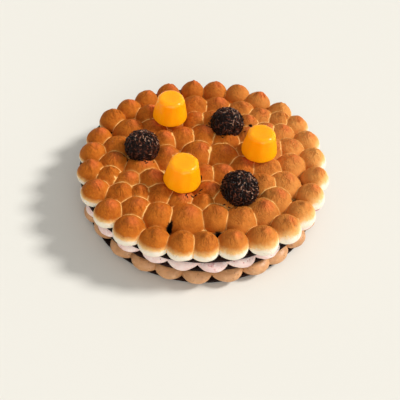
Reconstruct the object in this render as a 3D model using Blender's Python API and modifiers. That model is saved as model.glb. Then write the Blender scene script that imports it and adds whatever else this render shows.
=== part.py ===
"""Round layer cake: piped cream kisses between thin chocolate discs.

From the bottom up it is a chocolate disc, praline cream, a second disc, berry
cream, a third disc and a top layer of toasted meringue kisses. Three egg-yolk
jelly cones and three chocolate truffles are pressed into the top.

Frame: metres, +Z up. The origin is the centre of the cake's underside, and -Y
is the side that faces the viewer.
"""
import math
import random

import bmesh
import bpy
from mathutils import Matrix, Vector

# ---- driving dimensions ------------------------------------------------------
BASE_DISC_RADIUS = 0.0930
MIDDLE_DISC_RADIUS = 0.0925
UPPER_DISC_RADIUS = 0.0955
DISC_THICKNESS = 0.0026
DISC_SIDES = 40
DISC_EDGE_BEVEL = 0.0005
CREAM_HEIGHT = 0.0110  # from the top of one disc to the underside of the next
GAP = 0.0003  # clearance between neighbouring solids
OVERRUN = 0.0010  # how far pieces run past a flat face before they are trimmed to it
NECK_SHARE = 0.9
TRIM_RADIUS = 0.2
TRIM_SIDES = 4
SHARP_ANGLE = math.radians(35)
WELD_DISTANCE = 1e-6
FLAT_ANGLE = math.radians(1.5)  # faces closer than this to one plane count as flat

RING_COUNT = 27  # pieces in the outer ring of every layer

# ---- cream layers between the discs ------------------------------------------
BALL_RING_RADIUS = 0.0855
CORE_RADIUS = BALL_RING_RADIUS - 0.0010  # the inner, hidden part of the layer
CORE_SIDES = RING_COUNT
BALL_RADIUS = 0.0117
BALL_SIDES = 9
BALL_BANDS = 3
BALL_CONTACT_ANGLE = math.radians(54)  # where the ball's side meets a disc
BALL_FULLNESS = 0.8  # below 1 the side is squarer than a circle
BALL_SIZE_SPREAD = 0.05
BALL_PLACE_SPREAD = 0.0010
BALL_TURN_SPREAD = 1.0  # degrees round the ring
PRALINE_FIRST_ANGLE = -75.5
BERRY_FIRST_ANGLE = -82.4
PRALINE_SEED = 5
BERRY_SEED = 11

# ---- meringue kisses on top ---------------------------------------------------
# The kisses are piped by hand, so each has its own place and width.
# outer ring, anticlockwise from the back: angle in degrees, then in millimetres the
# distance from the axis and half the width
OUTER_RING = (
    ((84.9, 84.4, 10.6), (71.3, 85.5, 10.8), (58.3, 85.3, 10.8), (43.1, 85.8, 11.0))
    + ((29.7, 86.6, 10.8), (16.7, 86.8, 11.0), (3.5, 86.5, 11.0), (-10.4, 88.2, 10.6))
    + ((-22.2, 88.6, 10.6), (-35.1, 89.4, 11.0), (-47.0, 90.4, 11.2), (-59.7, 89.2, 11.5))
    + ((-73.7, 86.2, 11.2), (-86.8, 85.8, 11.0), (-97.0, 86.8, 11.2), (-109.6, 88.8, 11.2))
    + ((-122.7, 89.2, 11.6), (-136.5, 88.8, 11.0), (-151.4, 87.6, 11.0), (-165.0, 86.2, 10.8))
    + ((-178.5, 85.0, 10.6), (169.1, 84.6, 10.2), (152.9, 85.0, 10.6), (140.4, 83.2, 10.4))
    + ((127.4, 83.2, 10.2), (112.6, 83.6, 10.3), (98.3, 83.4, 10.3))
)
# inside the outer ring: x, y and half the visible width, in millimetres
SECOND_RING = (
    ((-9.0, -63.0, 13.0), (11.5, -60.5, 11.0), (29.0, -61.0, 12.0), (45.0, -53.0, 12.0))
    + ((55.5, -40.5, 11.5), (63.0, -24.0, 12.0), (68.5, -3.5, 11.0), (69.0, 15.0, 11.0))
    + ((63.0, 31.0, 10.5), (61.5, 47.0, 10.5), (45.5, 50.5, 11.5), (30.0, 58.5, 11.5))
    + ((10.0, 62.0, 11.5), (-9.5, 61.0, 11.5), (-29.0, 62.0, 11.5), (-46.0, 47.0, 10.5))
    + ((-60.0, 27.0, 12.0), (-67.0, 6.0, 11.5), (-68.0, -12.0, 11.0), (-69.5, -27.0, 10.0))
    + ((-58.0, -44.0, 11.0), (-46.0, -57.5, 11.5), (-29.5, -62.0, 11.5))
)
THIRD_RING = (
    ((2.0, -49.5, 9.0), (20.0, -45.5, 11.5), (46.5, -27.0, 11.5), (50.0, -9.0, 12.5))
    + ((54.5, 14.0, 12.0), (50.0, 33.0, 11.0), (34.5, 41.5, 10.5), (19.0, 42.5, 11.5))
    + ((5.5, 43.5, 11.0), (-8.0, 41.5, 10.5), (-26.0, 43.5, 11.5), (-42.0, 31.0, 11.5))
    + ((-49.0, 7.0, 12.5), (-46.0, -15.5, 12.5), (-55.0, -31.0, 11.0), (-45.0, -43.0, 9.0))
    + ((-30.0, -42.0, 11.5), (-14.0, -47.0, 11.0))
)
CENTRE = (
    ((5.5, -38.0, 11.5), (27.0, -28.0, 12.5), (31.5, -8.0, 11.5), (36.5, 10.0, 12.0))
    + ((33.5, 26.5, 11.0), (17.5, 20.0, 12.0), (0.0, 24.0, 12.0), (-17.0, 21.0, 12.0))
    + ((-31.0, 15.5, 10.5), (-29.0, -2.0, 12.0), (-37.0, -28.5, 11.0), (-17.0, -27.0, 12.0))
    + ((1.0, -20.0, 11.5), (15.0, -19.0, 11.0), (15.0, 2.0, 13.0), (-3.5, 3.5, 12.5))
    + ((-15.0, -10.0, 12.0),)
)
# small gaps between the kisses, open down to the disc: x, y, radius in millimetres
MERINGUE_GAPS = (
    ((-20.3, -75.5, 2.6), (14.8, -76.5, 2.4), (-70.0, 17.0, 2.2), (36.3, 36.6, 1.6))
    + ((-0.4, -28.5, 1.2), (69.0, -40.5, 1.2))
)
GAP_SIDES = 4
FILLED_RADIUS = 0.080  # inside this the kisses' feet run together
FILLED_HEIGHT = 0.0050
KISS_HEIGHT = 0.0142
KISS_SEED = 3
KISS_HEIGHT_SPREAD = 0.05
PRESSED_SHARE = 0.84  # height left to a kiss that a cone stands on
PRESS_REACH = 0.0190  # from a cone's axis to the axis of a kiss under it
OUTER_KISS_SIDES = 9
BULGE_SHARE = 0.20  # height of the widest part over the kiss height
FOOT_SHARE = 0.84  # foot radius over the widest radius
OUTER_KISS_ROUNDING = ((0.86, 0.54), (0.50, 0.86))  # shares of the radius and height
INNER_KISS_SIDES = 7
INNER_KISS_OVERLAP = 1.17  # foot radius over half the visible width
INNER_KISS_ROUNDING = ((0.84, 0.52), (0.48, 0.86))  # shares of the foot radius and height
MM = 0.001

# ---- toppings -----------------------------------------------------------------
CONE_BASE_RADIUS = 0.0139
CONE_TOP_RADIUS = 0.0105
CONE_HEIGHT = 0.0200
CONE_TOP_ROUNDING = 0.0022
CONE_ROUNDING_STEPS = 3
CONE_FOOT_ROUNDING = 0.0008
CONE_SIDES = 16
CONE_SINK = 0.0012  # how far a cone's base sits below the kisses' tips
# each cone: distance from the axis, angle and lean towards +X in degrees
CONE_PLACES = ((0.0481, 126.3, 3.8), (0.0437, 4.6, 0.5), (0.0353, -113.4, 4.5))

TRUFFLE_SIDES = 14
TRUFFLE_BANDS = 8
TRUFFLE_FLATTENING = 0.92
TRUFFLE_CENTRE_RISE = 0.0085  # from the flattened foot to the widest part
# each truffle: distance from the axis, angle in degrees, radius, and the height of its
# widest part above the kisses' tips
TRUFFLE_PLACES = (
    ((0.0463, 183.6, 0.0134, 0.0028), (0.0358, 59.4, 0.0132, 0.0020))
    + ((0.0498, -55.5, 0.0138, 0.0028),)
)

# ---- heights that follow --------------------------------------------------------
MIDDLE_DISC_LOW = DISC_THICKNESS + CREAM_HEIGHT
UPPER_DISC_LOW = MIDDLE_DISC_LOW + DISC_THICKNESS + CREAM_HEIGHT
KISS_LOW = UPPER_DISC_LOW + DISC_THICKNESS + GAP
KISS_TOP = KISS_LOW + KISS_HEIGHT


# ---- Blender helpers --------------------------------------------------------------
def clear_scene():
    for old in list(bpy.data.objects):
        bpy.data.objects.remove(old, do_unlink=True)


def make_collection(name):
    collection = bpy.data.collections.new(name)
    bpy.context.scene.collection.children.link(collection)
    return collection


def make_material(name, color, roughness):
    """A Principled material in one colour."""
    made = bpy.data.materials.new(name)
    made.use_nodes = True
    shader = made.node_tree.nodes["Principled BSDF"]
    shader.inputs["Base Color"].default_value = (*color, 1.0)
    shader.inputs["Roughness"].default_value = roughness
    made.diffuse_color = (*color, 1.0)
    return made


def object_from(bm, name, look, collection):
    """Turns a bmesh into a smooth-shaded object."""
    bmesh.ops.recalc_face_normals(bm, faces=bm.faces)
    mesh = bpy.data.meshes.new(name)
    bm.to_mesh(mesh)
    bm.free()
    mesh.shade_smooth()
    mesh.set_sharp_from_angle(angle=SHARP_ANGLE)
    mesh.materials.append(look)
    made = bpy.data.objects.new(name, mesh)
    collection.objects.link(made)
    return made


def hide_helper(helper):
    helper.hide_render = True
    helper.display_type = "WIRE"


def add_helper(bm, name, look, helpers):
    """A hidden operand for a Boolean."""
    helper = object_from(bm, name, look, helpers)
    hide_helper(helper)
    return helper


def add_boolean(target, operand, operation):
    """Joins or cuts with the EXACT solver, also where shells of one mesh overlap."""
    boolean = target.modifiers.new(operation.title() + "_" + operand.name, "BOOLEAN")
    boolean.operation = operation
    boolean.solver = "EXACT"
    boolean.use_self = True
    boolean.object = operand


def merge_flat_faces(target):
    """Merges the coplanar pieces that a union leaves on flat faces."""
    merge = target.modifiers.new("Merge_flat", "DECIMATE")
    merge.decimate_type = "DISSOLVE"
    merge.angle_limit = FLAT_ANGLE


def polar(distance, degrees, height=0.0):
    angle = math.radians(degrees)
    return Vector((distance * math.cos(angle), distance * math.sin(angle), height))


def add_turned_shell(bm, profile, sides, place):
    """Spins a closed half-outline of (radius, height) points round Z, then places it."""
    before = set(bm.verts)
    points = [bm.verts.new((radius, 0.0, height)) for radius, height in profile]
    lines = [bm.edges.new(pair) for pair in zip(points, points[1:])]
    bmesh.ops.spin(
        bm,
        geom=points + lines,
        cent=(0.0, 0.0, 0.0),
        axis=(0.0, 0.0, 1.0),
        angle=2 * math.pi,
        steps=sides,
        use_merge=True,
    )
    made = [vert for vert in bm.verts if vert not in before]
    bmesh.ops.remove_doubles(bm, verts=made, dist=WELD_DISTANCE)
    made = [vert for vert in bm.verts if vert not in before]
    bmesh.ops.transform(bm, matrix=place, verts=made)


def add_cylinder(bm, radius, height, sides, foot):
    """Adds an upright prism that stands on the point named foot."""
    centre = Vector(foot) + Vector((0.0, 0.0, height / 2))
    bmesh.ops.create_cone(
        bm,
        cap_ends=True,
        segments=sides,
        radius1=radius,
        radius2=radius,
        depth=height,
        matrix=Matrix.Translation(centre),
    )


def trim(target, low, height, look, helpers):
    """Cuts off what overruns the flat faces at low and low + height."""
    between = bmesh.new()
    add_cylinder(between, TRIM_RADIUS, height, TRIM_SIDES, (0.0, 0.0, low))
    trimmer = add_helper(between, target.name + "_trim", look, helpers)
    add_boolean(target, trimmer, "INTERSECT")
    merge_flat_faces(target)


# ---- chocolate discs ----------------------------------------------------------------
def add_disc(name, low, radius, look, collection):
    bpy.ops.mesh.primitive_cylinder_add(
        vertices=DISC_SIDES,
        radius=radius,
        depth=DISC_THICKNESS,
        location=(0.0, 0.0, low + DISC_THICKNESS / 2),
    )
    disc = bpy.context.active_object
    disc.name = name
    disc.data.name = name
    for owner in list(disc.users_collection):
        owner.objects.unlink(disc)
    collection.objects.link(disc)
    disc.data.materials.append(look)
    edge = disc.modifiers.new("Edge", "BEVEL")
    edge.width = DISC_EDGE_BEVEL
    edge.segments = 1
    disc.data.shade_smooth()
    disc.data.set_sharp_from_angle(angle=SHARP_ANGLE)
    return disc


# ---- cream layers ----------------------------------------------------------------------
def ball_profile(radius, height):
    """Half-outline of a cream ball pressed between two discs, overrunning both of them."""
    half = height / 2
    side = []
    for step in range(BALL_BANDS + 1):
        angle = BALL_CONTACT_ANGLE * (1 - 2 * step / BALL_BANDS)
        rise = math.sin(angle) / math.sin(BALL_CONTACT_ANGLE)
        side.append((radius * math.cos(angle) ** BALL_FULLNESS, half + half * rise))
    neck = side[0][0] * NECK_SHARE
    high, low = height + OVERRUN, -OVERRUN
    return [(0.0, high), (neck, high), *side, (neck, low), (0.0, low)]


def add_cream_layer(name, low, first_angle, seed, look, collection, helpers):
    """A ring of piped balls round a solid core, which is the layer's hidden inside."""
    rng = random.Random(seed)
    height = CREAM_HEIGHT - 2 * GAP
    bm = bmesh.new()
    for number in range(RING_COUNT):
        turn = first_angle + number * 360.0 / RING_COUNT + rng.uniform(-1, 1) * BALL_TURN_SPREAD
        distance = BALL_RING_RADIUS + rng.uniform(-1, 1) * BALL_PLACE_SPREAD
        size = BALL_RADIUS * (1 + rng.uniform(-1, 1) * BALL_SIZE_SPREAD)
        spin = Matrix.Rotation(math.radians(turn), 4, "Z")
        place = Matrix.Translation(polar(distance, turn, low)) @ spin
        add_turned_shell(bm, ball_profile(size, height), BALL_SIDES, place)
    layer = object_from(bm, name, look, collection)

    core = bmesh.new()
    core_height = height + 4 * OVERRUN
    add_cylinder(core, CORE_RADIUS, core_height, CORE_SIDES, (0.0, 0.0, low - 2 * OVERRUN))
    add_boolean(layer, add_helper(core, name + "_core", look, helpers), "UNION")
    trim(layer, low, height, look, helpers)
    return layer


# ---- toasted meringue ---------------------------------------------------------------------
def kiss_layout():
    """Every kiss as (is in the outer ring, x, y, radius, height)."""
    rng = random.Random(KISS_SEED)
    cones = [polar(distance, degrees) for distance, degrees, _ in CONE_PLACES]
    places = []
    for degrees, distance, radius in OUTER_RING:
        height = KISS_HEIGHT * (1 + rng.uniform(0, 2) * KISS_HEIGHT_SPREAD)
        spot = polar(distance * MM, degrees)
        places.append((True, spot.x, spot.y, radius * MM, height))
    for x, y, radius in SECOND_RING + THIRD_RING + CENTRE:
        height = KISS_HEIGHT * (1 + rng.uniform(-1, 1) * KISS_HEIGHT_SPREAD)
        spot = Vector((x * MM, y * MM, 0.0))
        if min((spot - cone).length for cone in cones) < PRESS_REACH:
            height *= PRESSED_SHARE
        places.append((False, spot.x, spot.y, radius * MM * INNER_KISS_OVERLAP, height))
    return places


def outer_kiss_profile(radius, height):
    """A free-standing kiss: narrow foot, bulge low down, round top with a soft tip."""
    foot = FOOT_SHARE * radius
    points = [(0.0, -OVERRUN), (NECK_SHARE * foot, -OVERRUN), (foot, 0.0)]
    points.append((radius, BULGE_SHARE * height))
    for share, rise in OUTER_KISS_ROUNDING:
        points.append((share * radius, height * rise))
    points.append((0.0, height))
    return points


def inner_kiss_profile(radius, height):
    """A kiss squeezed in by its neighbours, whose foot runs into theirs."""
    points = [(0.0, -OVERRUN), (NECK_SHARE * radius, -OVERRUN), (radius, 0.0)]
    for share, rise in INNER_KISS_ROUNDING:
        points.append((share * radius, height * rise))
    points.append((0.0, height))
    return points


def add_meringue(name, look, collection, helpers, pockets):
    """All the kisses as one body, with pockets for the toppings and a few small gaps."""
    outer, inner, gaps = bmesh.new(), bmesh.new(), bmesh.new()
    for is_outer, x, y, radius, height in kiss_layout():
        turn = Matrix.Rotation(math.atan2(y, x), 4, "Z")
        place = Matrix.Translation((x, y, KISS_LOW)) @ turn
        if is_outer:
            add_turned_shell(outer, outer_kiss_profile(radius, height), OUTER_KISS_SIDES, place)
        else:
            add_turned_shell(inner, inner_kiss_profile(radius, height), INNER_KISS_SIDES, place)
    filled_foot = (0.0, 0.0, KISS_LOW - 2 * OVERRUN)
    add_cylinder(inner, FILLED_RADIUS, FILLED_HEIGHT + 2 * OVERRUN, CORE_SIDES, filled_foot)
    for x, y, radius in MERINGUE_GAPS:
        foot = (x * MM, y * MM, KISS_LOW - KISS_HEIGHT)
        add_cylinder(gaps, radius * MM, 3 * KISS_HEIGHT, GAP_SIDES, foot)
    meringue = object_from(outer, name, look, collection)
    add_boolean(meringue, add_helper(inner, name + "_inner", look, helpers), "UNION")
    for cutter in (add_helper(gaps, name + "_gaps", look, helpers), *pockets):
        add_boolean(meringue, cutter, "DIFFERENCE")
    trim(meringue, KISS_LOW, 2 * KISS_HEIGHT, look, helpers)
    return meringue


# ---- toppings --------------------------------------------------------------------------------
def cone_profile(grow=0.0):
    """Half-outline of a jelly cone from the top's centre down to the foot's centre."""
    base, top = CONE_BASE_RADIUS + grow, CONE_TOP_RADIUS + grow
    low, high = -grow, CONE_HEIGHT + grow
    points = [(0.0, high)]
    for step in range(CONE_ROUNDING_STEPS + 1):
        angle = math.pi / 2 * (1 - step / CONE_ROUNDING_STEPS)
        points.append(
            (
                top - CONE_TOP_ROUNDING * (1 - math.cos(angle)),
                high - CONE_TOP_ROUNDING * (1 - math.sin(angle)),
            )
        )
    points.append((base, low + CONE_FOOT_ROUNDING))
    points.append((base - CONE_FOOT_ROUNDING, low))
    points.append((0.0, low))
    return points


def add_screwed(name, profile, sides, look, collection):
    """A profile turned round Z by a Screw modifier."""
    mesh = bpy.data.meshes.new(name)
    points = [(radius, 0.0, height) for radius, height in profile]
    mesh.from_pydata(points, [(i, i + 1) for i in range(len(points) - 1)], [])
    mesh.materials.append(look)
    made = bpy.data.objects.new(name, mesh)
    collection.objects.link(made)
    screw = made.modifiers.new("Turn", "SCREW")
    screw.steps = sides
    screw.render_steps = sides
    screw.use_merge_vertices = True
    screw.merge_threshold = WELD_DISTANCE
    screw.use_smooth_shade = True
    return made


def add_cone(name, place, look, collection, grow=0.0):
    distance, degrees, lean = place
    cone = add_screwed(name, cone_profile(grow), CONE_SIDES, look, collection)
    cone.location = polar(distance, degrees, KISS_TOP - CONE_SINK)
    cone.rotation_euler = (0.0, math.radians(lean), 0.0)
    return cone


def add_truffle(name, place, look, collection, grow=0.0):
    """A rolled ball with a foot flattened where it sits in the meringue."""
    distance, degrees, radius, rise = place
    bm = bmesh.new()
    bmesh.ops.create_uvsphere(
        bm, u_segments=TRUFFLE_SIDES, v_segments=TRUFFLE_BANDS, radius=radius + grow
    )
    foot = -TRUFFLE_CENTRE_RISE - grow
    for vert in bm.verts:
        vert.co.z *= TRUFFLE_FLATTENING
        if vert.co.z < foot:
            vert.co.z = foot
    bmesh.ops.dissolve_limit(bm, angle_limit=FLAT_ANGLE, verts=bm.verts, edges=bm.edges)
    truffle = object_from(bm, name, look, collection)
    truffle.location = polar(distance, degrees, KISS_TOP + rise)
    truffle.rotation_euler = (0.0, 0.0, math.radians(degrees))
    return truffle


def add_pocket(maker, name, place, look, helpers):
    """The same topping grown by the clearance, which cuts its pocket into the meringue."""
    pocket = maker(name, place, look, helpers, grow=GAP)
    hide_helper(pocket)
    return pocket


def main():
    clear_scene()
    cake = make_collection("layer_cake")
    helpers = make_collection("cutters")
    chocolate = make_material("dark_chocolate", (0.035, 0.016, 0.012), 0.35)
    praline = make_material("praline_cream", (0.50, 0.27, 0.13), 0.5)
    berry = make_material("berry_cream", (0.80, 0.55, 0.55), 0.5)
    toasted = make_material("toasted_meringue", (0.52, 0.20, 0.05), 0.6)
    jelly = make_material("yolk_jelly", (0.95, 0.38, 0.02), 0.25)
    truffle = make_material("truffle_chocolate", (0.025, 0.012, 0.010), 0.4)

    add_disc("disc_base", 0.0, BASE_DISC_RADIUS, chocolate, cake)
    praline_low = DISC_THICKNESS + GAP
    add_cream_layer(
        "cream_praline", praline_low, PRALINE_FIRST_ANGLE, PRALINE_SEED, praline, cake, helpers
    )
    add_disc("disc_middle", MIDDLE_DISC_LOW, MIDDLE_DISC_RADIUS, chocolate, cake)
    berry_low = MIDDLE_DISC_LOW + DISC_THICKNESS + GAP
    add_cream_layer("cream_berry", berry_low, BERRY_FIRST_ANGLE, BERRY_SEED, berry, cake, helpers)
    add_disc("disc_upper", UPPER_DISC_LOW, UPPER_DISC_RADIUS, chocolate, cake)

    pockets = []
    for number, place in enumerate(CONE_PLACES, start=1):
        add_cone(f"jelly_cone_{number}", place, jelly, cake)
        pockets.append(add_pocket(add_cone, f"cone_pocket_{number}", place, jelly, helpers))
    for number, place in enumerate(TRUFFLE_PLACES, start=1):
        add_truffle(f"truffle_{number}", place, truffle, cake)
        pockets.append(add_pocket(add_truffle, f"truffle_pocket_{number}", place, truffle, helpers))
    add_meringue("meringue_top", toasted, cake, helpers, pockets)


main()
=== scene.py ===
"""Round layer cake with toasted meringue kisses, jelly cones and truffles.

Three thin chocolate discs hold two rings of cream balls. On top lie meringue kisses that run
together, three yolk jelly cones and three truffles rolled in sprinkles. Lengths are in metres.
"""

import math
import random

import bmesh
import bpy
import numpy as np
from mathutils import Matrix, Vector, kdtree, noise
from mathutils.bvhtree import BVHTree


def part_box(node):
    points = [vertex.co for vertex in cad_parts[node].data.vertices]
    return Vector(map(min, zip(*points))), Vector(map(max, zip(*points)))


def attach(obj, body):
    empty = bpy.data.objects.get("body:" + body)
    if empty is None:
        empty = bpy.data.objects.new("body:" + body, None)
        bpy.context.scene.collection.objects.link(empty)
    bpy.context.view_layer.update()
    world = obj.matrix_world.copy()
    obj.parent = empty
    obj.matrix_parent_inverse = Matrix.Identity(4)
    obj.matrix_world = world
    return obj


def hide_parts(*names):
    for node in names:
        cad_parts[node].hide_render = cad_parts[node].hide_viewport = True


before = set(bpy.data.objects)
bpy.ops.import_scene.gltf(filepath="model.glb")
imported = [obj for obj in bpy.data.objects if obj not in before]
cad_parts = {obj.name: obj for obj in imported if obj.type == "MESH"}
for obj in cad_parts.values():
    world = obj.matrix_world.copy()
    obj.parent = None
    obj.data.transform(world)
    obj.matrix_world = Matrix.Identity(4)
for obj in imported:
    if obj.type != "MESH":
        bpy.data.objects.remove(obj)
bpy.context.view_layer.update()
MM = 0.001
SLIVER = 0.000005  # unions leave edges shorter than this
UP = Vector((0.0, 0.0, 1.0))

# ---------------------------------------------------------------- sizes
KISS_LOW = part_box("meringue_top")[0].z
KISS_HEIGHT = 0.0142
KISS_HEIGHT_SPREAD = 0.05
KISS_SEED = 3
KISS_SHAPE_SEED = 100  # each kiss adds its number
KISS_PEAK_SEED = 900
KISS_COLOR_SEED = 700
KISS_SIDES = 60
KISS_STEPS = 18
INNER_OVERLAP = 1.17  # foot radius of an inner kiss over half its visible width
OUTER_SWELL = 1.035  # the outer kisses press against each other
BULGE_SHARE = 0.20  # height of an outer kiss's widest part over its height
FILLED_RADIUS = 0.080  # inside this the kisses' feet run together
FILLED_HEIGHT = 4.6 * MM
FILLED_SIDES = 72
GAP_SIDES = 14
PRESSED_SHARE = 0.84  # height left to a kiss that a cone stands on
PRESS_REACH = 0.0190  # from a cone's axis to the axis of a kiss under it
# The kisses repeat the places on the cake's solids. Outer ring: angle in degrees, then in
# millimetres the distance from the axis and half the width.
OUTER_RING = (
    ((84.9, 84.4, 10.6), (71.3, 85.5, 10.8), (58.3, 85.3, 10.8), (43.1, 85.8, 11.0))
    + ((29.7, 86.6, 10.8), (16.7, 86.8, 11.0), (3.5, 86.5, 11.0), (-10.4, 88.2, 10.6))
    + ((-22.2, 88.6, 10.6), (-35.1, 89.4, 11.0), (-47.0, 90.4, 11.2), (-59.7, 89.2, 11.5))
    + ((-73.7, 86.2, 11.2), (-86.8, 85.8, 11.0), (-97.0, 86.8, 11.2), (-109.6, 88.8, 11.2))
    + ((-122.7, 89.2, 11.6), (-136.5, 88.8, 11.0), (-151.4, 87.6, 11.0), (-165.0, 86.2, 10.8))
    + ((-178.5, 85.0, 10.6), (169.1, 84.6, 10.2), (152.9, 85.0, 10.6), (140.4, 83.2, 10.4))
    + ((127.4, 83.2, 10.2), (112.6, 83.6, 10.3), (98.3, 83.4, 10.3))
)
# Inner kisses: x, y and half the visible width in millimetres.
INNER_KISSES = (
    ((-9.0, -63.0, 13.0), (11.5, -60.5, 11.0), (29.0, -61.0, 12.0), (45.0, -53.0, 12.0))
    + ((55.5, -40.5, 11.5), (63.0, -24.0, 12.0), (68.5, -3.5, 11.0), (69.0, 15.0, 11.0))
    + ((63.0, 31.0, 10.5), (61.5, 47.0, 10.5), (45.5, 50.5, 11.5), (30.0, 58.5, 11.5))
    + ((10.0, 62.0, 11.5), (-9.5, 61.0, 11.5), (-29.0, 62.0, 11.5), (-46.0, 47.0, 10.5))
    + ((-60.0, 27.0, 12.0), (-67.0, 6.0, 11.5), (-68.0, -12.0, 11.0), (-69.5, -27.0, 10.0))
    + ((-58.0, -44.0, 11.0), (-46.0, -57.5, 11.5), (-29.5, -62.0, 11.5))
    + ((2.0, -49.5, 9.0), (20.0, -45.5, 11.5), (46.5, -27.0, 11.5), (50.0, -9.0, 12.5))
    + ((54.5, 14.0, 12.0), (50.0, 33.0, 11.0), (34.5, 41.5, 10.5), (19.0, 42.5, 11.5))
    + ((5.5, 43.5, 11.0), (-8.0, 41.5, 10.5), (-26.0, 43.5, 11.5), (-42.0, 31.0, 11.5))
    + ((-49.0, 7.0, 12.5), (-46.0, -15.5, 12.5), (-55.0, -31.0, 11.0), (-45.0, -43.0, 9.0))
    + ((-30.0, -42.0, 11.5), (-14.0, -47.0, 11.0))
    + ((5.5, -38.0, 11.5), (27.0, -28.0, 12.5), (31.5, -8.0, 11.5), (36.5, 10.0, 12.0))
    + ((33.5, 26.5, 11.0), (17.5, 20.0, 12.0), (0.0, 24.0, 12.0), (-17.0, 21.0, 12.0))
    + ((-31.0, 15.5, 10.5), (-29.0, -2.0, 12.0), (-37.0, -28.5, 11.0), (-17.0, -27.0, 12.0))
    + ((1.0, -20.0, 11.5), (15.0, -19.0, 11.0), (15.0, 2.0, 13.0), (-3.5, 3.5, 12.5))
    + ((-15.0, -10.0, 12.0),)
)
# Gaps between kisses, open down to the disc and within 3 mm of the gaps in the solids: x, y,
# radius in millimetres, and how many times as long each is along the cake's radius as across it.
MERINGUE_GAPS = (
    ((-20.4, -73.2, 2.6, 2.4), (14.8, -74.8, 2.5, 0.8), (-70.0, 16.8, 1.7, 1.5))
    + ((37.5, 34.0, 1.3, 1.5), (-0.4, -27.5, 1.0, 1.5), (69.0, -39.0, 1.3, 1.5))
)
MEETING_SHARE = 0.16  # a seam runs where a point is nearly as far into one kiss as the next
MARK_SPACING = 0.6 * MM  # between the points that mark a seam

PRALINE_FIRST_ANGLE = -75.5  # degrees
PRALINE_SEED = 5
PRALINE_UNEVENNESS = 0.5 * MM
BERRY_FIRST_ANGLE = -82.4
BERRY_SEED = 11
BERRY_UNEVENNESS = 0.8 * MM
BALL_SHAPE_SEED = 500  # each ball adds its number
BALL_COUNT = 27
BALL_RING_RADIUS = 0.0855
BALL_RADIUS = 0.0117
BALL_SIDES = 44
BALL_STEPS = 14
BALL_CONTACT_ANGLE = math.radians(62)  # where a ball's side meets a disc
CORE_RADIUS = 0.082  # the inner, hidden part of a cream layer
CORE_SIDES = 96
DISC_SIDES = 240

CONE_BASE_RADIUS = 0.0139
CONE_TOP_RADIUS = 0.0109
CONE_HEIGHT = 0.0200
CONE_ROUNDING = 0.0040
CONE_SIDES = 72
CONE_LEANS = (3.8, 0.5, 4.5)  # degrees towards +X
TRUFFLE_FLATTENING = 0.92
TRUFFLE_FOOT = -0.0084  # below the truffle's centre
TRUFFLE_COUNT = 3
SPRINKLES_PER_TRUFFLE = 720
SPRINKLE_SIDES = 6
SPRINKLE_SEED = 77
STRAYS_PER_PLACE = 9
STRAY_DROP = 0.1  # above everything, where the way down of a fallen sprinkle starts
PAINTED_GLINT_SIDE = Vector((0.60, -0.10, 0.79))  # the side towards the key light, where most of the paler sprinkles lie: painted glints

# ---------------------------------------------------------------- sizes of the view
CAMERA_LENS = 53.55  # millimetres, on a sensor 36 mm wide
CAMERA_TARGET = Vector((0.0001, -0.0345, 0.0250))
CAMERA_DISTANCE = 0.450
CAMERA_ELEVATION = math.radians(48.1)
CAMERA_ROLL = math.radians(3.26)
LIGHT_COLOR = (1.0, 0.965, 0.91)
FLOOR_SIZE = 20.0
FLOOR_GAP = 0.2 * MM  # between the cake's foot and the floor


# ---------------------------------------------------------------- mesh helpers
def fbm(p, scale, octaves=3):
    """Smooth noise from about -1 to 1, with features about as wide as scale."""
    return noise.fractal(Vector(p) / scale, 1.0, 2.0, octaves, noise_basis="PERLIN_ORIGINAL")


def turned(profile, sides):
    """Closed shell from (radius, z) points that run from the top's centre to the foot's centre."""
    inner = profile[1:-1]
    verts = [(0.0, 0.0, profile[0][1])]
    for radius, z in inner:
        for k in range(sides):
            a = 2 * math.pi * k / sides
            verts.append((radius * math.cos(a), radius * math.sin(a), z))
    verts.append((0.0, 0.0, profile[-1][1]))
    faces = [(0, 1 + k, 1 + (k + 1) % sides) for k in range(sides)]
    for row in range(len(inner) - 1):
        top = 1 + row * sides
        low = top + sides
        for k in range(sides):
            n = (k + 1) % sides
            faces.append((top + k, low + k, low + n, top + n))
    last = len(verts) - 1
    base = last - sides
    faces += [(last, base + (k + 1) % sides, base + k) for k in range(sides)]
    return np.array(verts), faces


def make_object(name, verts, faces):
    mesh = bpy.data.meshes.new(name)
    mesh.from_pydata([tuple(v) for v in verts], [], faces)
    mesh.validate()
    made = bpy.data.objects.new(name, mesh)
    bpy.context.scene.collection.objects.link(made)
    return made


def joined(name, shells):
    """One mesh object from several (verts, faces) shells that don't touch."""
    all_verts = []
    all_faces = []
    start = 0
    for verts, faces in shells:
        all_verts.append(verts)
        all_faces += [tuple(i + start for i in face) for face in faces]
        start += len(verts)
    return make_object(name, np.vstack(all_verts), all_faces)


def boolean(target, operand, operation):
    """Applies a Boolean and removes the operand."""
    step = target.modifiers.new("b", "BOOLEAN")
    step.operation = operation
    step.solver = "MANIFOLD"
    step.object = operand
    apply_modifiers(target)
    bpy.data.objects.remove(operand)


def apply_modifiers(target):
    graph = bpy.context.evaluated_depsgraph_get()
    mesh = bpy.data.meshes.new_from_object(target.evaluated_get(graph))
    target.modifiers.clear()
    old = target.data
    target.data = mesh
    bpy.data.meshes.remove(old)


def union(name, shells, reach):
    """Unites overlapping shells. reach gives each one's (x, y, radius) to tell which are apart."""
    groups = []
    for shell, (x, y, r) in zip(shells, reach):
        for group in groups:
            if all(math.hypot(x - u, y - v) > r + s for _, (u, v, s) in group):
                group.append((shell, (x, y, r)))
                break
        else:
            groups.append([(shell, (x, y, r))])
    whole = joined(name, [shell for shell, _ in groups[0]])
    for group in groups[1:]:
        boolean(whole, joined(name + "_add", [shell for shell, _ in group]), "UNION")
    return whole


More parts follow.
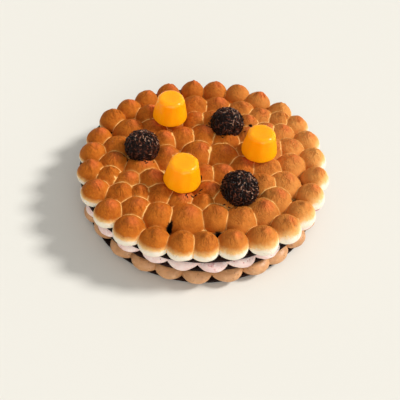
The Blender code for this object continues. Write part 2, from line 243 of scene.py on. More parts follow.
def keep_largest(mesh):
    """Merges the slivers that unions leave, and keeps only the one large body."""
    bm = bmesh.new()
    bm.from_mesh(mesh)
    bmesh.ops.remove_doubles(bm, verts=bm.verts, dist=SLIVER)
    bmesh.ops.dissolve_degenerate(bm, edges=bm.edges, dist=SLIVER)
    left = set(bm.faces)
    largest = set()
    while left:
        body = set()
        reached = [left.pop()]
        while reached:
            face = reached.pop()
            body.add(face)
            for edge in face.edges:
                for other in left.intersection(edge.link_faces):
                    left.remove(other)
                    reached.append(other)
        if len(body) > len(largest):
            largest = body
    stray = [face for face in bm.faces if face not in largest]
    bmesh.ops.delete(bm, geom=stray, context="FACES")
    bmesh.ops.triangulate(bm, faces=[face for face in bm.faces if len(face.verts) > 4])
    bm.to_mesh(mesh)
    bm.free()


def coordinates(mesh):
    co = np.empty(len(mesh.vertices) * 3)
    mesh.vertices.foreach_get("co", co)
    return co.reshape(-1, 3)


def set_attribute(mesh, name, values):
    layer = mesh.attributes.new(name, "FLOAT", "POINT")
    layer.data.foreach_set("value", np.asarray(values, dtype=np.float32))


def crease_distance(mesh, meeting, limit=0.006, angle=0.38):
    """Distance from each vertex to the nearest concave crease between two pieces.

    meeting tells for each vertex whether it lies where two pieces meet.
    """
    bm = bmesh.new()
    bm.from_mesh(mesh)
    marks = set()
    for edge in bm.edges:
        a, b = edge.verts
        if len(edge.link_faces) != 2 or edge.is_convex or not (meeting[a.index] and meeting[b.index]):
            continue
        if edge.calc_face_angle(0.0) > angle:
            steps = max(1, int(edge.calc_length() / MARK_SPACING))
            marks.update(tuple(a.co.lerp(b.co, i / steps)) for i in range(steps + 1))
    bm.free()
    tree = kdtree.KDTree(len(marks))
    for i, p in enumerate(sorted(marks)):
        tree.insert(p, i)
    tree.balance()
    return [min(limit, tree.find(vert.co)[2]) for vert in mesh.vertices]


def shade(mesh, degrees):
    mesh.shade_smooth()
    mesh.set_sharp_from_angle(angle=math.radians(degrees))


# ---------------------------------------------------------------- materials
class Nodes:
    """Short forms for building a node material."""

    def __init__(self, name):
        self.material = bpy.data.materials.new(name)
        self.material.use_nodes = True
        self.tree = self.material.node_tree
        self.shader = self.tree.nodes["Principled BSDF"]
        self.coords = self.tree.nodes.new("ShaderNodeTexCoord").outputs["Object"]

    def put(self, socket, value):
        if isinstance(value, bpy.types.NodeSocket):
            self.tree.links.new(value, socket)
        else:
            socket.default_value = value

    def noise(self, scale, detail=3.0, rough=0.5, distort=0.0, stretch=None):
        node = self.tree.nodes.new("ShaderNodeTexNoise")
        vector = self.coords
        if stretch:
            mapping = self.tree.nodes.new("ShaderNodeMapping")
            mapping.inputs["Scale"].default_value = stretch
            self.put(mapping.inputs["Vector"], vector)
            vector = mapping.outputs[0]
        self.put(node.inputs["Vector"], vector)
        for key, value in (("Scale", scale), ("Detail", detail), ("Roughness", rough)):
            node.inputs[key].default_value = value
        node.inputs["Distortion"].default_value = distort
        return node.outputs["Fac"]

    def cells(self, scale):
        """Distance from the centre of the nearest of many scattered cells."""
        node = self.tree.nodes.new("ShaderNodeTexVoronoi")
        self.put(node.inputs["Vector"], self.coords)
        node.inputs["Scale"].default_value = scale
        return node.outputs["Distance"]

    def attribute(self, name):
        node = self.tree.nodes.new("ShaderNodeAttribute")
        node.attribute_name = name
        return node.outputs["Fac"]

    def spread(self, value, low, high, start=0.0, end=1.0):
        """Maps low..high to start..end, clamped and eased."""
        node = self.tree.nodes.new("ShaderNodeMapRange")
        node.interpolation_type = "SMOOTHSTEP"
        self.put(node.inputs["Value"], value)
        limits = {"From Min": low, "From Max": high, "To Min": start, "To Max": end}
        for key, number in limits.items():
            node.inputs[key].default_value = number
        return node.outputs["Result"]

    def math(self, operation, a, b=0.0):
        node = self.tree.nodes.new("ShaderNodeMath")
        node.operation = operation
        self.put(node.inputs[0], a)
        self.put(node.inputs[1], b)
        return node.outputs[0]

    def mix(self, factor, a, b):
        node = self.tree.nodes.new("ShaderNodeMix")
        node.data_type = "RGBA"
        self.put(node.inputs["Factor"], factor)
        for socket, value in ((node.inputs[6], a), (node.inputs[7], b)):
            self.put(socket, value if isinstance(value, bpy.types.NodeSocket) else (*value, 1.0))
        return node.outputs[2]

    def bump(self, height, distance, strength):
        node = self.tree.nodes.new("ShaderNodeBump")
        self.put(node.inputs["Height"], height)
        node.inputs["Distance"].default_value = distance
        node.inputs["Strength"].default_value = strength
        return node.outputs[0]

    def finish(self, color, roughness, normal=None, **values):
        """Fills the shader and returns the material."""
        inputs = self.shader.inputs
        self.put(inputs["Base Color"], color)
        self.put(inputs["Roughness"], roughness)
        if normal is not None:
            self.put(inputs["Normal"], normal)
        for key, value in values.items():
            inputs[key.replace("_", " ")].default_value = value
        return self.material


def toasted_look():
    """Torched meringue: brown on top, golden and then white low on the outside, with painted shade and
    highlight on the kisses.
    """
    n = Nodes("toasted_meringue_look")
    blotch = n.noise(95.0, 3.0, 0.55)
    fine = n.noise(430.0, 4.0, 0.65)
    grain = n.math("SUBTRACT", fine, 0.5)
    # browning: blotches, each kiss a little different, redder at its peak with a painted highlight on
    # the peak's lit right side, and paler at +X
    brown = n.mix(n.spread(blotch, 0.35, 0.65), (0.38, 0.086, 0.005), (0.51, 0.130, 0.008))
    brown = n.mix(n.math("MULTIPLY", n.attribute("own"), 0.35), brown, (0.56, 0.170, 0.014))
    brown = n.mix(n.spread(fine, 0.35, 0.75, 0.0, 0.65), brown, (0.63, 0.190, 0.016))
    # patch: real redder toasting at each peak, and a painted highlight on its right side, where the key
    # light falls
    patch = n.spread(n.math("ADD", n.attribute("peak_toast_and_painted_highlight"), n.math("MULTIPLY", grain, 0.6)), 0.1, 0.9)
    pale = n.math("MULTIPLY", n.attribute("pale"), n.spread(blotch, 0.25, 0.7, 0.60, 1.0))
    brown = n.mix(pale, brown, (0.82, 0.370, 0.095))
    # painted shade: the left flank of each kiss, away from the key light, is mixed towards a deeper
    # brown
    brown = n.mix(n.math("MULTIPLY", n.attribute("left"), 0.30), brown, (0.36, 0.095, 0.008))
    brown = n.mix(n.math("MULTIPLY", patch, 0.80), brown, (0.70, 0.160, 0.040))
    # folds round the tip, with painted shade in their grooves
    wrinkle = n.noise(230.0, 3.0, 0.6, 0.8, (1.0, 0.6, 0.5))
    wrinkle = n.math("ABSOLUTE", n.math("SUBTRACT", wrinkle, 0.5))
    fold = n.math("MULTIPLY", n.spread(wrinkle, 0.0, 0.09, 1.0, 0.0), n.attribute("tip"))
    brown = n.mix(n.math("MULTIPLY", fold, 0.24), brown, (0.34, 0.065, 0.008))
    # from white through golden to brown
    seam = n.attribute("seam")
    glow = n.spread(seam, 0.0004, 0.0024, 0.35, 0.0)
    brown = n.mix(glow, brown, (0.72, 0.30, 0.055))
    toast = n.math("ADD", n.attribute("toast"), n.math("MULTIPLY", grain, 0.40))
    toast = n.math("ADD", toast, n.math("MULTIPLY", n.math("SUBTRACT", blotch, 0.5), 0.35))
    golden = n.mix(n.spread(toast, 0.12, 0.50), (0.88, 0.80, 0.66), (0.86, 0.52, 0.20))
    color = n.mix(n.spread(toast, 0.34, 0.86), golden, brown)
    # pores, the pale seams between the kisses, and painted shade on the walls of the gaps
    pore = n.spread(n.cells(620.0), 0.10, 0.24, 1.0, 0.0)
    pore = n.math("MULTIPLY", pore, n.spread(n.noise(150.0, 2.0), 0.50, 0.60))
    color = n.mix(n.math("MULTIPLY", pore, 0.40), color, (0.20, 0.05, 0.010))
    broken = n.spread(n.noise(70.0, 2.0), 0.34, 0.50, 0.35, 1.0)
    line = n.math("MULTIPLY", n.spread(seam, 0.00025, 0.00075, 1.0, 0.0), broken)
    color = n.mix(line, color, (0.92, 0.56, 0.20))
    # painted shade: near black on the gap walls, where the disc below lies in shadow
    color = n.mix(n.attribute("deep"), color, (0.016, 0.007, 0.004))
    height = n.math("ADD", n.math("MULTIPLY", fine, 0.8), n.noise(1300.0, 2.0))
    height = n.math("SUBTRACT", height, n.math("MULTIPLY", pore, 0.7))
    height = n.math("SUBTRACT", height, n.math("MULTIPLY", fold, 1.6))
    return n.finish(
        color,
        0.66,
        n.bump(height, 0.00050, 0.8),
        Subsurface_Weight=0.12,
        Subsurface_Radius=(1.0, 0.5, 0.25),
        Subsurface_Scale=0.0015,
        Specular_IOR_Level=0.11,
    )


def cream_look(name, base, deep, pale, fleck, flecks, smear):
    """Set cream with flecks, and with smears where smear is above zero.

    flecks is the span of a noise over which the flecks come in.
    """
    n = Nodes(name)
    soft = n.noise(110.0, 4.0, 0.6)
    color = n.mix(n.spread(soft, 0.3, 0.7), deep, base)
    color = n.mix(n.spread(n.noise(300.0, 3.0), 0.5, 0.75, 0.0, 0.6), color, pale)
    dots = n.spread(n.cells(520.0), 0.16, 0.30, 1.0, 0.0)
    dots = n.math("MULTIPLY", dots, n.spread(n.noise(340.0, 1.0), *flecks))
    color = n.mix(n.math("MULTIPLY", dots, 0.8), color, fleck)
    if smear:
        stain = n.spread(n.noise(75.0, 5.0, 0.65, 0.6), 0.62, 0.70, 0.0, smear)
        color = n.mix(stain, color, fleck)
    return n.finish(
        color,
        0.42,
        n.bump(n.math("ADD", soft, n.noise(900.0, 3.0)), 0.0004, 0.5),
        Subsurface_Weight=0.15,
        Subsurface_Radius=(1.0, 0.6, 0.4),
        Subsurface_Scale=0.002,
    )


def chocolate_look():
    n = Nodes("dark_chocolate_look")
    cloud = n.noise(60.0, 4.0, 0.6)
    color = n.mix(n.spread(cloud, 0.35, 0.7), (0.008, 0.003, 0.002), (0.024, 0.008, 0.006))
    rough = n.spread(n.noise(220.0, 3.0), 0.3, 0.7, 0.35, 0.55)
    return n.finish(color, rough, n.bump(n.noise(500.0, 4.0), 0.0003, 0.5), Specular_IOR_Level=0.1)


def jelly_look():
    n = Nodes("yolk_jelly_look")
    cloud = n.noise(70.0, 3.0, 0.5)
    color = n.mix(n.spread(cloud, 0.3, 0.7), (1.0, 0.330, 0.002), (1.0, 0.375, 0.004))
    streak = n.noise(260.0, 3.0, 0.5, stretch=(1.0, 1.0, 0.12))
    return n.finish(
        color,
        0.26,
        n.bump(streak, 0.0004, 0.30),
        Subsurface_Weight=0.90,
        Subsurface_Radius=(1.0, 0.50, 0.05),
        Subsurface_Scale=0.012,
        Specular_IOR_Level=0.3,
        # emission: a painted glow that stands in for light passing through the jelly
        Emission_Color=(1.0, 0.34, 0.0, 1.0),
        Emission_Strength=0.18,
    )


def truffle_look():
    n = Nodes("truffle_look")
    color = n.mix(n.noise(300.0, 4.0, 0.6), (0.004, 0.0015, 0.001), (0.022, 0.007, 0.004))
    return n.finish(color, 0.6, n.bump(n.noise(900.0, 4.0), 0.0005, 0.8), Specular_IOR_Level=0.1)


def sprinkle_look():
    n = Nodes("sprinkle_look")
    tone = n.attribute("tone")
    color = n.mix(n.spread(tone, 0.35, 0.75), (0.004, 0.0015, 0.001), (0.100, 0.027, 0.013))
    # paler sprinkles: partly a random tone, partly painted glints, most of them on the side towards the
    # key light
    color = n.mix(n.spread(tone, 0.78, 0.92), color, (0.34, 0.190, 0.125))
    return n.finish(color, 0.15, Specular_IOR_Level=0.25)


# ---------------------------------------------------------------- meringue
def kiss_layout():
    """Every kiss as (is outer, x, y, radius, height), placed as on the cake's solids."""
    seeded = random.Random(KISS_SEED)
    cones = [cone_foot(number) for number in range(len(CONE_LEANS))]
    places = []
    for degrees, far, radius in OUTER_RING:
        height = KISS_HEIGHT * (1 + seeded.uniform(0, 2) * KISS_HEIGHT_SPREAD)
        a = math.radians(degrees)
        x, y = far * MM * math.cos(a), far * MM * math.sin(a)
        places.append((True, x, y, radius * MM * OUTER_SWELL, height))
    for x, y, radius in INNER_KISSES:
        height = KISS_HEIGHT * (1 + seeded.uniform(-1, 1) * KISS_HEIGHT_SPREAD)
        spot = Vector((x * MM, y * MM))
        if min((spot - cone.xy).length for cone in cones) < PRESS_REACH:
            height *= PRESSED_SHARE
        places.append((False, spot.x, spot.y, radius * MM * INNER_OVERLAP, height))
    return places


def kiss_profile(is_outer, radius, height):
    """Half-outline from the tip down; an outer kiss turns back in under its widest part."""
    points = [(0.0, height)]
    bulge = BULGE_SHARE * height if is_outer else 0.0
    for i in range(1, KISS_STEPS + 1):
        a = math.pi / 2 * i / KISS_STEPS
        z = bulge + (height - bulge) * max(0.0, math.cos(a)) ** (1.0 if is_outer else 0.9)
        points.append((radius * math.sin(a) ** (1.3 if is_outer else 1.2), z))
    if is_outer:
        under = math.radians(57)
        rows = 5
        for i in range(1, rows + 1):
            a = under * i / rows
            drop = math.sin(a) / math.sin(under)
            points.append((radius * (1 - 0.36 * (1 - math.cos(a))), bulge * (1 - drop)))
    points.append((0.0, 0.0))
    return points


def random_waves(own, counts, size):
    """Waves round a turned shape as (how many, share of the radius, phase)."""
    return [(k, own.uniform(-1, 1) * size / (k - 0.5), own.uniform(0, 6.3)) for k in counts]


def wavy(rho, a, waves):
    """The radius rho at the angle a, with the waves added."""
    return rho * (1 + sum(size * math.cos(k * a + phase) for k, size, phase in waves))


def kiss_shell(is_outer, x, y, radius, height, number):
    """One piped kiss: a dome, made uneven, with a leaning tip and folds to its right."""
    verts, faces = turned(kiss_profile(is_outer, radius, height), KISS_SIDES)
    own = random.Random(KISS_SHAPE_SEED + number)
    waves = random_waves(own, (2, 3, 4, 5), 0.030)
    lean = (own.uniform(0.1, 1.5) * MM, own.uniform(-0.2, 1.5) * MM)
    tip = own.uniform(0.3, 1.9) * MM * (1.3 if is_outer else 1.0)
    fold_turn = own.uniform(0.2, 1.1)
    folds = own.uniform(0.6, 1.7) * MM
    crest_turn = own.uniform(-1.4, 0.5)
    crest = own.uniform(0.2, 1.1) * MM
    fold_cos, fold_sin = math.cos(fold_turn), math.sin(fold_turn)
    crest_cos, crest_sin = math.cos(crest_turn), math.sin(crest_turn)
    out = np.empty_like(verts)
    for i, (px, py, pz) in enumerate(verts):
        a = math.atan2(py, px)
        rho = wavy(math.hypot(px, py), a, waves)
        up = pz / height
        share = rho / radius
        dx = rho * math.cos(a) + lean[0] * up * up
        dy = rho * math.sin(a) + lean[1] * up * up
        qz = pz
        if pz > 0.0:
            spot = (x + dx, y + dy, pz + number * 0.05)
            # the tip, and a crest that falls away from it
            qz += tip * math.exp(-((share / 0.22) ** 2))
            run = dx * crest_cos + dy * crest_sin
            wide = dy * crest_cos - dx * crest_sin
            if run > 0.0:
                fall = min(1.0, run / (2 * MM)) * math.exp(-((run / (6 * MM)) ** 2))
                qz += crest * fall * math.exp(-((wide / (2.6 * MM)) ** 2))
            # folds halfway down the right side
            right = 0.5 + 0.5 * math.cos(a - 0.15)
            band = math.exp(-(((share - 0.40) / 0.24) ** 2))
            across = dx * fold_cos + dy * fold_sin
            along = dy * fold_cos - dx * fold_sin
            ridge = 0.35 - abs(fbm((across, along * 0.30, number * 0.05), 3 * MM, 2))
            qz += folds * right**2 * band * ridge * 2.2
            # broad and fine unevenness
            qz += min(1.0, up * 1.6) * 0.60 * MM * fbm(spot, 7.5 * MM)
            qz += up * 0.24 * MM * fbm(spot, 2.2 * MM, 2)
            push = 0.30 * MM * (1 - up) * fbm(spot, 6 * MM)
            dx += push * math.cos(a)
            dy += push * math.sin(a)
            qz = max(qz, 0.02 * MM)
        out[i] = (x + dx, y + dy, KISS_LOW + qz)
    return out, faces


def gap_cutter(x, y, radius, stretch):
    """A short tapered hole, stretched along the cake's radius."""
    top = 30 * MM
    foot = -2 * MM
    rim = [(0.0, top), (radius * 1.4, top), (radius, 5 * MM), (radius * 0.9, foot), (0.0, foot)]
    verts, faces = turned(rim, GAP_SIDES)
    turn = math.atan2(y, x)
    verts[:, 0] *= math.sqrt(stretch)
    verts[:, 1] /= math.sqrt(stretch)
    c, s = math.cos(turn), math.sin(turn)
    verts[:, :2] = verts[:, :2] @ np.array([[c, s], [-s, c]])
    return verts + np.array([x, y, KISS_LOW]), faces


def gap_depth(co):
    """For each point, 1 on the walls of a gap, where painted shade goes, and 0 elsewhere."""
    deep = np.zeros(len(co))
    for x, y, radius, stretch in MERINGUE_GAPS:
        turn = math.atan2(y, x)
        away = (co[:, :2] - np.array([x, y]) * MM) / (radius * MM)
        along = (away[:, 0] * math.cos(turn) + away[:, 1] * math.sin(turn)) / math.sqrt(stretch)
        across = (away[:, 1] * math.cos(turn) - away[:, 0] * math.sin(turn)) * math.sqrt(stretch)
        deep = np.maximum(deep, np.hypot(along, across) < 1.22)
    return deep


def meringue_body(layout):
    """All the kisses united over a low filled slab, with the gaps cut out."""
    shells = [kiss_shell(*kiss, number) for number, kiss in enumerate(layout)]
    reach = [(x, y, radius * 1.16) for _, x, y, radius, _ in layout]
    slab_top = KISS_LOW + FILLED_HEIGHT
    filled = [(0.0, slab_top), (0.060, slab_top), (0.074, KISS_LOW + 4.0 * MM)]
    filled += [(0.079, KISS_LOW + 2.4 * MM), (FILLED_RADIUS, KISS_LOW), (0.0, KISS_LOW)]
    shells.append(turned(filled, FILLED_SIDES))
    reach.append((0.0, 0.0, FILLED_RADIUS))
    meringue = union("meringue_kisses", shells, reach)
    holes = [gap_cutter(x * MM, y * MM, radius * MM, long) for x, y, radius, long in MERINGUE_GAPS]
    boolean(meringue, joined("holes", holes), "DIFFERENCE")
    keep_largest(meringue.data)
    return meringue


def random_per_kiss(first_seed, count, low):
    """A steady random value from low to 1 for each kiss."""
    return np.array([random.Random(first_seed + k).uniform(low, 1.0) for k in range(count)])


def make_meringue():
    """The meringue, with attributes that tell its material where it is browned and where shade and
    highlight are painted.
    """
    layout = kiss_layout()
    meringue = meringue_body(layout)
    mesh = meringue.data
    co = coordinates(mesh)
    kisses = np.array([kiss[1:] for kiss in layout])
    outer = np.array([kiss[0] for kiss in layout])
    away = co[:, None, :2] - kisses[None, :, :2]
    share = np.hypot(away[:, :, 0], away[:, :, 1]) / kisses[None, :, 2]
    nearest = share.argmin(1)
    ranked = np.sort(share, axis=1)
    meeting = ranked[:, 1] - ranked[:, 0] < MEETING_SHARE
    set_attribute(mesh, "seam", crease_distance(mesh, meeting))
    own = kisses[nearest]
    up = (co[:, 2] - KISS_LOW) / own[:, 3]
    off = (co[:, :2] - own[:, :2]) / own[:, 2:3]
    strength = random_per_kiss(KISS_PEAK_SEED, len(layout), 0.25)[nearest]
    # peak patch: redder toasting at the tip, and painted highlight on the side towards the key light
    spot = np.exp(-(((off[:, 0] - 0.24) / 0.42) ** 2) - ((off[:, 1] - 0.10) / 0.46) ** 2)
    set_attribute(mesh, "peak_toast_and_painted_highlight", spot * strength * np.clip(up * 2 - 0.7, 0, 1))
    set_attribute(mesh, "own", random_per_kiss(KISS_COLOR_SEED, len(layout), 0.0)[nearest])
    # left: painted shade on each kiss's left flank, away from the key light
    set_attribute(mesh, "left", np.clip(0.45 - off[:, 0] * 0.9, 0, 1))
    set_attribute(mesh, "tip", np.clip(1.25 - ranked[:, 0] * 1.6, 0, 1))
    # deep: where painted shade goes on the gap walls
    set_attribute(mesh, "deep", gap_depth(co))
    angle = np.arctan2(own[:, 1], own[:, 0])
    ring = np.hypot(own[:, 0], own[:, 1])
    pale_side = 0.5 + 0.5 * np.cos(angle)
    set_attribute(mesh, "pale", pale_side**3 * np.clip((ring - 0.035) / 0.050, 0, 1))
    # how toasted: white below a line that lies highest on the outside, at +X and at the front left
    right = 0.5 + 0.5 * np.cos(angle + 0.30)
    front_left = np.clip(np.cos(angle + 2.30), 0, 1)
    outward = np.clip((np.hypot(co[:, 0], co[:, 1]) - ring) / own[:, 2], -1, 1)
    line = 0.23 + 0.10 * outward + 0.40 * right**3 * np.clip(outward + 0.40, 0, 1)
    line += 0.17 * front_left**2
    toast = np.clip((up - line) / (0.42 + 0.40 * right**3) + 0.5, 0, 1)
    inside = np.clip(-outward * 3, 0, 1)
    set_attribute(mesh, "toast", np.where(outer[nearest], toast * (1 - inside) + inside, 1.0))
    shade(mesh, 40)
    return meringue


# ---------------------------------------------------------------- cream between the discs
def ball_shell(x, y, turn, low, height, radius, number, uneven):
    """A cream ball pressed between two discs."""
    half = height / 2
    profile = [(0.0, height)]
    for i in range(BALL_STEPS + 1):
        a = BALL_CONTACT_ANGLE * (1 - 2 * i / BALL_STEPS)
        rise = math.sin(a) / math.sin(BALL_CONTACT_ANGLE)
        profile.append((radius * math.cos(a) ** 0.75, half + half * rise))
    profile.append((0.0, 0.0))
    verts, faces = turned(profile, BALL_SIDES)
    own = random.Random(BALL_SHAPE_SEED + number)
    waves = random_waves(own, (2, 3, 4), 0.03)
    sag = own.uniform(-0.02, 0.05) * radius
    out = np.empty_like(verts)
    for i, (px, py, pz) in enumerate(verts):
        a = math.atan2(py, px)
        rho = wavy(math.hypot(px, py), a, waves)
        middle = 1 - abs(pz / height - 0.5) * 2
        rho += sag * (0.5 - pz / height)
        spot = (px, py, pz + number * 0.07)
        rho += uneven * (0.3 + 0.7 * middle) * fbm(spot, 7 * MM)
        out[i] = (x + rho * math.cos(a + turn), y + rho * math.sin(a + turn), low + pz)
    return out, faces


def make_cream(name, node, first_angle, seed, uneven):
    """A ring of balls, spaced as on the cake's solids, round the layer's core."""
    low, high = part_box(node)[0].z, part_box(node)[1].z
    seeded = random.Random(seed)
    shells = []
    reach = []
    for number in range(BALL_COUNT):
        turn = first_angle + number * 360.0 / BALL_COUNT + seeded.uniform(-1, 1)
        far = BALL_RING_RADIUS + seeded.uniform(-1, 1) * MM
        size = BALL_RADIUS * (1 + seeded.uniform(-1, 1) * 0.05)
        a = math.radians(turn)
        x, y = far * math.cos(a), far * math.sin(a)
        shells.append(ball_shell(x, y, a, low, high - low, size, seed * 100 + number, uneven))
        reach.append((x, y, size * 1.1))
    core = [(0.0, high), (CORE_RADIUS, high), (CORE_RADIUS, low), (0.0, low)]
    shells.append(turned(core, CORE_SIDES))
    reach.append((0.0, 0.0, CORE_RADIUS))
    cream = union(name, shells, reach)
    keep_largest(cream.data)
    shade(cream.data, 32)
    return cream


# ---------------------------------------------------------------- discs
def make_disc(name, node, number):
    """A thin cast disc with a rounded, slightly uneven edge."""
    low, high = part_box(node)[0].z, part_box(node)[1].z
    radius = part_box(node)[1].x
    half = (high - low) / 2
    middle = (high + low) / 2
    shares = (0.3, 0.6, 0.85, 0.95)
    edge_steps = 6
    profile = [(0.0, high)] + [(radius * s, high) for s in shares]
    for i in range(edge_steps + 1):
        a = math.pi / 2 * (1 - 2 * i / edge_steps)
        profile.append((radius - MM + MM * math.cos(a), middle + half * math.sin(a)))
    profile += [(radius * s, low) for s in reversed(shares)] + [(0.0, low)]
    verts, faces = turned(profile, DISC_SIDES)
    for i, (px, py, pz) in enumerate(verts):
        far = math.hypot(px, py)
        if far > radius * 0.96:
            wave = fbm((px * 3, py * 3, number * 1.7), 50 * MM) * 0.6 * MM
            verts[i, :2] *= (far + wave - 0.2 * MM) / far
    disc = make_object(name, verts, faces)
    shade(disc.data, 40)
    return disc


# ---------------------------------------------------------------- toppings
def cone_foot(number):
    """The centre of a cone's foot, worked out from the solid's box."""
    low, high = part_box(f"jelly_cone_{number + 1}")
    dip = (high.x - low.x) / 2 * math.sin(math.radians(CONE_LEANS[number]))
    return Vector(((low.x + high.x) / 2, (low.y + high.y) / 2, low.z + dip))


def cone_profile():
    """Half-outline of a jelly cone from the top's centre down to the foot's centre."""
    crown = CONE_TOP_RADIUS - CONE_ROUNDING
    dip = 0.3 * MM
    points = [(0.0, CONE_HEIGHT - dip)]
    points += [(crown * s, CONE_HEIGHT - dip * (1 - s)) for s in (0.3, 0.6, 0.85)]
    for i in range(8):
        a = math.pi / 2 * (1 - i / 8)
        inward = CONE_ROUNDING * (1 - math.cos(a))
        points.append((CONE_TOP_RADIUS - inward, CONE_HEIGHT - CONE_ROUNDING * (1 - math.sin(a))))
    for i in range(14):
        s = i / 13
        z = (CONE_HEIGHT - CONE_ROUNDING) * (1 - s) + 1.6 * MM * s
        widening = 0.8 * s + 0.2 * math.sin(math.pi / 2 * s)
        points.append((CONE_TOP_RADIUS + (CONE_BASE_RADIUS - CONE_TOP_RADIUS) * widening, z))
    for inset, z in ((0.2, 1.0), (0.8, 0.3), (1.6, 0.0)):
        points.append((CONE_BASE_RADIUS - inset * MM, z * MM))
    return points + [(0.0, 0.0)]


def make_cone(name, number):
    """A jelly cone that was tipped out of a small mould: soft edges, faintly uneven sides."""
    verts, faces = turned(cone_profile(), CONE_SIDES)
    for i, (px, py, pz) in enumerate(verts):
        rho, a = math.hypot(px, py), math.atan2(py, px)
        if rho > MM:
            flute = 0.07 * MM * math.cos(9 * a + number)
            flute += 0.16 * MM * fbm((px, py, pz * 0.3 + number), 6 * MM)
            verts[i, :2] *= 1 + flute / rho * 1.5
        verts[i, 2] += 0.22 * MM * fbm((px, py, number * 2.0), 6 * MM) * (pz > 17 * MM)
    cone = make_object(name, verts, faces)
    cone.location = cone_foot(number)
    cone.rotation_euler = (0.0, math.radians(CONE_LEANS[number]), 0.0)
    shade(cone.data, 60)
    return cone


def truffle_centre(number):
    """The middle and the radius of a truffle, worked out from the solid's box."""
    low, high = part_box(f"truffle_{number + 1}")
    radius = (high.x - low.x) / 2
    middle = (low + high) / 2
    return Vector((middle.x, middle.y, high.z - TRUFFLE_FLATTENING * radius)), radius


def truffle_point(direction, number, grow=0.0):
    """A point of the truffle's uneven surface in that direction from its centre."""
    radius = truffle_centre(number)[1] - 0.6 * MM + grow
    radius += 0.4 * MM * fbm(tuple(direction + Vector((number, 0, 0))), 0.7)
    p = direction * radius
    return Vector((p.x, p.y, max(p.z * TRUFFLE_FLATTENING, TRUFFLE_FOOT)))


def make_truffle(name, number):
    """The ball under the sprinkles."""
    bm = bmesh.new()
    bmesh.ops.create_icosphere(bm, subdivisions=4, radius=1.0)
    for vert in bm.verts:
        vert.co = truffle_point(vert.co.normalized(), number)
    mesh = bpy.data.meshes.new(name)
    bm.to_mesh(mesh)
    bm.free()
    made = bpy.data.objects.new(name, mesh)
    bpy.context.scene.collection.objects.link(made)
    made.location = truffle_centre(number)[0]
    mesh.shade_smooth()
    return made


def sprinkle_shell(centre, along, normal, length, thickness):
    """A short rounded rod that lies along a surface, slightly bent and off round."""
    half = length / 2
    profile = [(0.0, half)]
    for along_share, wide_share in ((-0.90, 0.7), (-0.6, 1.0), (0.1, 1.08), (0.65, 0.95), (0.92, 0.65)):
        profile.append((thickness / 2 * wide_share, half * -along_share))
    profile.append((0.0, -half))
    verts, faces = turned(profile, SPRINKLE_SIDES)
    along = along.normalized()
    side = along.cross(normal).normalized()
    up = side.cross(along)
    bend = 0.05 * length
    out = np.empty_like(verts)
    for i, (px, py, pz) in enumerate(verts):
        curve = -bend * (pz / half) ** 2
        out[i] = centre + side * px + up * (py * 0.85 + curve) + along * pz
    return out, faces


def sprinkles_on(number, seeded):
    """Sprinkles all round one truffle, most of them lying flat and some standing out."""
    centre = truffle_centre(number)[0]
    shells = []
    golden = math.pi * (3 - math.sqrt(5))
    # evenly spread, from the top to well below the middle
    for i in range(SPRINKLES_PER_TRUFFLE):
        z = 1 - 1.6 * (i + 0.5) / SPRINKLES_PER_TRUFFLE
        ring = math.sqrt(max(0.0, 1 - z * z))
        a = golden * i + seeded.uniform(-0.2, 0.2)
        direction = Vector((ring * math.cos(a), ring * math.sin(a), z))
        spot = truffle_point(direction, number, seeded.uniform(0.2, 0.8) * MM)
        if spot.z <= TRUFFLE_FOOT + 0.1 * MM:
            continue
        turn = Matrix.Rotation(seeded.uniform(0, math.pi), 3, direction)
        stand = seeded.uniform(-0.15, 0.30) if seeded.random() < 0.8 else seeded.uniform(0.4, 0.9)
        along = turn @ direction.orthogonal().normalized() + direction * stand
        length = seeded.uniform(1.6, 3.4) * MM
        thickness = seeded.uniform(0.6, 0.9) * MM
        shells.append(sprinkle_shell(centre + spot, along, direction, length, thickness))
    return shells


def strays_on(surface, centre, angles, distances, seeded):
    """Sprinkles that fell on the meringue round a point, within those angles and distances."""
    shells = []
    for _ in range(STRAYS_PER_PLACE):
        a = math.radians(seeded.uniform(*angles))
        reach = seeded.uniform(*distances)
        start = Vector((centre.x + reach * math.cos(a), centre.y + reach * math.sin(a), STRAY_DROP))
        spot, normal, _, _ = surface.ray_cast(start, -UP)
        turn = Matrix.Rotation(seeded.uniform(0, math.pi), 3, normal)
        along = turn @ normal.orthogonal().normalized()
        length = seeded.uniform(1.4, 2.8) * MM
        thickness = seeded.uniform(0.6, 0.9) * MM
        shells.append(sprinkle_shell(spot + normal * 0.3 * MM, along, normal, length, thickness))
    return shells


def make_sprinkles(meringue):
    """Every sprinkle as one mesh, with an attribute for how pale each one is: a random tone, raised on
    the side towards the key light as painted glints.
    """
    seeded = random.Random(SPRINKLE_SEED)
    surface = BVHTree.FromObject(meringue, bpy.context.evaluated_depsgraph_get())
    shells = []
    for number in range(TRUFFLE_COUNT):
        shells += sprinkles_on(number, seeded)
        centre, radius = truffle_centre(number)
        shells += strays_on(surface, centre, (0, 360), (radius, radius + 3 * MM), seeded)
    # a few lie in front of the last cone
    shells += strays_on(surface, cone_foot(2), (-80, -25), (14.5 * MM, 17 * MM), seeded)
    made = joined("truffle_sprinkles", shells)
    tones = []
    centres = [truffle_centre(number)[0] for number in range(TRUFFLE_COUNT)]
    for verts, _ in shells:
        middle = Vector(verts.mean(0))
        offsets = [middle - centre for centre in centres]
        away = min(offsets, key=lambda offset: offset.length)
        # paler on the side towards the key light: painted glints over a random tone
        tones.append(seeded.random() * (0.74 + 0.30 * away.normalized().dot(PAINTED_GLINT_SIDE)))
    set_attribute(made.data, "tone", np.repeat(tones, len(shells[0][0])))
    return made


# ---------------------------------------------------------------- put the cake together
def place(piece, node, look):
    """Gives a piece its look, hangs it under the root body and hides the solid that it stands for, if
    any.
    """
    piece.data.materials.clear()
    piece.data.materials.append(look)
    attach(piece, "root")
    if node:
        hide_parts(node)


chocolate = chocolate_look()
for index, which in enumerate(("base", "middle", "upper")):
    disc = make_disc(f"chocolate_disc_{which}", f"disc_{which}", index)
    place(disc, f"disc_{which}", chocolate)

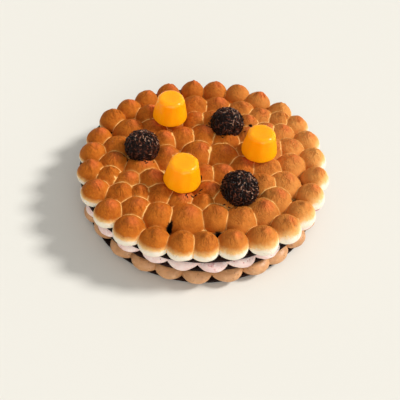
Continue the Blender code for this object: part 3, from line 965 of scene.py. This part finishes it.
praline_look = cream_look(
    "praline_look",
    base=(0.63, 0.325, 0.145),
    deep=(0.50, 0.245, 0.100),
    pale=(0.74, 0.430, 0.215),
    fleck=(0.20, 0.08, 0.03),
    flecks=(0.50, 0.62),
    smear=0.0,
)
berry_look = cream_look(
    "berry_look",
    base=(0.92, 0.75, 0.69),
    deep=(0.84, 0.60, 0.57),
    pale=(0.96, 0.88, 0.83),
    fleck=(0.42, 0.04, 0.08),
    flecks=(0.52, 0.62),
    smear=0.75,
)
praline = make_cream(
    "praline_balls", "cream_praline", PRALINE_FIRST_ANGLE, PRALINE_SEED, PRALINE_UNEVENNESS
)
place(praline, "cream_praline", praline_look)
berry = make_cream("berry_balls", "cream_berry", BERRY_FIRST_ANGLE, BERRY_SEED, BERRY_UNEVENNESS)
place(berry, "cream_berry", berry_look)
meringue = make_meringue()
place(meringue, "meringue_top", toasted_look())

jelly = jelly_look()
for index in range(len(CONE_LEANS)):
    cone = make_cone(f"yolk_cone_{index + 1}", index)
    place(cone, f"jelly_cone_{index + 1}", jelly)
truffle = truffle_look()
for index in range(TRUFFLE_COUNT):
    ball = make_truffle(f"truffle_core_{index + 1}", index)
    place(ball, f"truffle_{index + 1}", truffle)
sprinkles = make_sprinkles(meringue)
sprinkles.data.shade_smooth()
place(sprinkles, None, sprinkle_look())


# ---------------------------------------------------------------- floor, light and camera
def make_floor():
    """A wide pale floor just under the cake."""
    bm = bmesh.new()
    bmesh.ops.create_grid(bm, x_segments=2, y_segments=2, size=FLOOR_SIZE)
    mesh = bpy.data.meshes.new("floor")
    bm.to_mesh(mesh)
    bm.free()
    floor = bpy.data.objects.new("floor", mesh)
    floor.location.z = -FLOOR_GAP
    bpy.context.scene.collection.objects.link(floor)
    n = Nodes("floor_look")
    mesh.materials.append(n.finish((0.765, 0.765, 0.730, 1.0), 0.9))


def add_sun(name, toward, degrees, strength):
    """Soft sunlight. toward points from the cake to the sun, and degrees is the sun's width."""
    data = bpy.data.lights.new(name, "SUN")
    data.angle = math.radians(degrees)
    data.energy = strength
    data.color = LIGHT_COLOR
    lamp = bpy.data.objects.new(name, data)
    lamp.rotation_euler = Vector(toward).to_track_quat("Z", "Y").to_euler()
    bpy.context.scene.collection.objects.link(lamp)


def make_world():
    """Even light from all round."""
    world = bpy.data.worlds.new("world")
    world.use_nodes = True
    background = world.node_tree.nodes["Background"]
    background.inputs["Color"].default_value = (1.0, 0.97, 0.92, 1.0)
    background.inputs["Strength"].default_value = 0.46
    bpy.context.scene.world = world
    bpy.context.scene.view_settings.view_transform = "Standard"


def make_camera():
    data = bpy.data.cameras.new("camera")
    data.lens = CAMERA_LENS
    data.sensor_width = 36.0
    data.clip_start = 0.01
    camera = bpy.data.objects.new("camera", data)
    back = Vector((0.0, -math.cos(CAMERA_ELEVATION), math.sin(CAMERA_ELEVATION)))
    camera.location = CAMERA_TARGET + back * CAMERA_DISTANCE
    aim = (-back).to_track_quat("-Z", "Y").to_matrix().to_4x4()
    roll = Matrix.Rotation(CAMERA_ROLL, 4, "Z")
    camera.rotation_euler = (aim @ roll).to_euler()
    bpy.context.scene.collection.objects.link(camera)
    bpy.context.scene.camera = camera


make_floor()
add_sun("key", toward=(0.90, 0.15, 0.80), degrees=12, strength=2.85)
add_sun("fill", toward=(0.25, -0.90, 0.36), degrees=50, strength=1.10)
make_world()
make_camera()
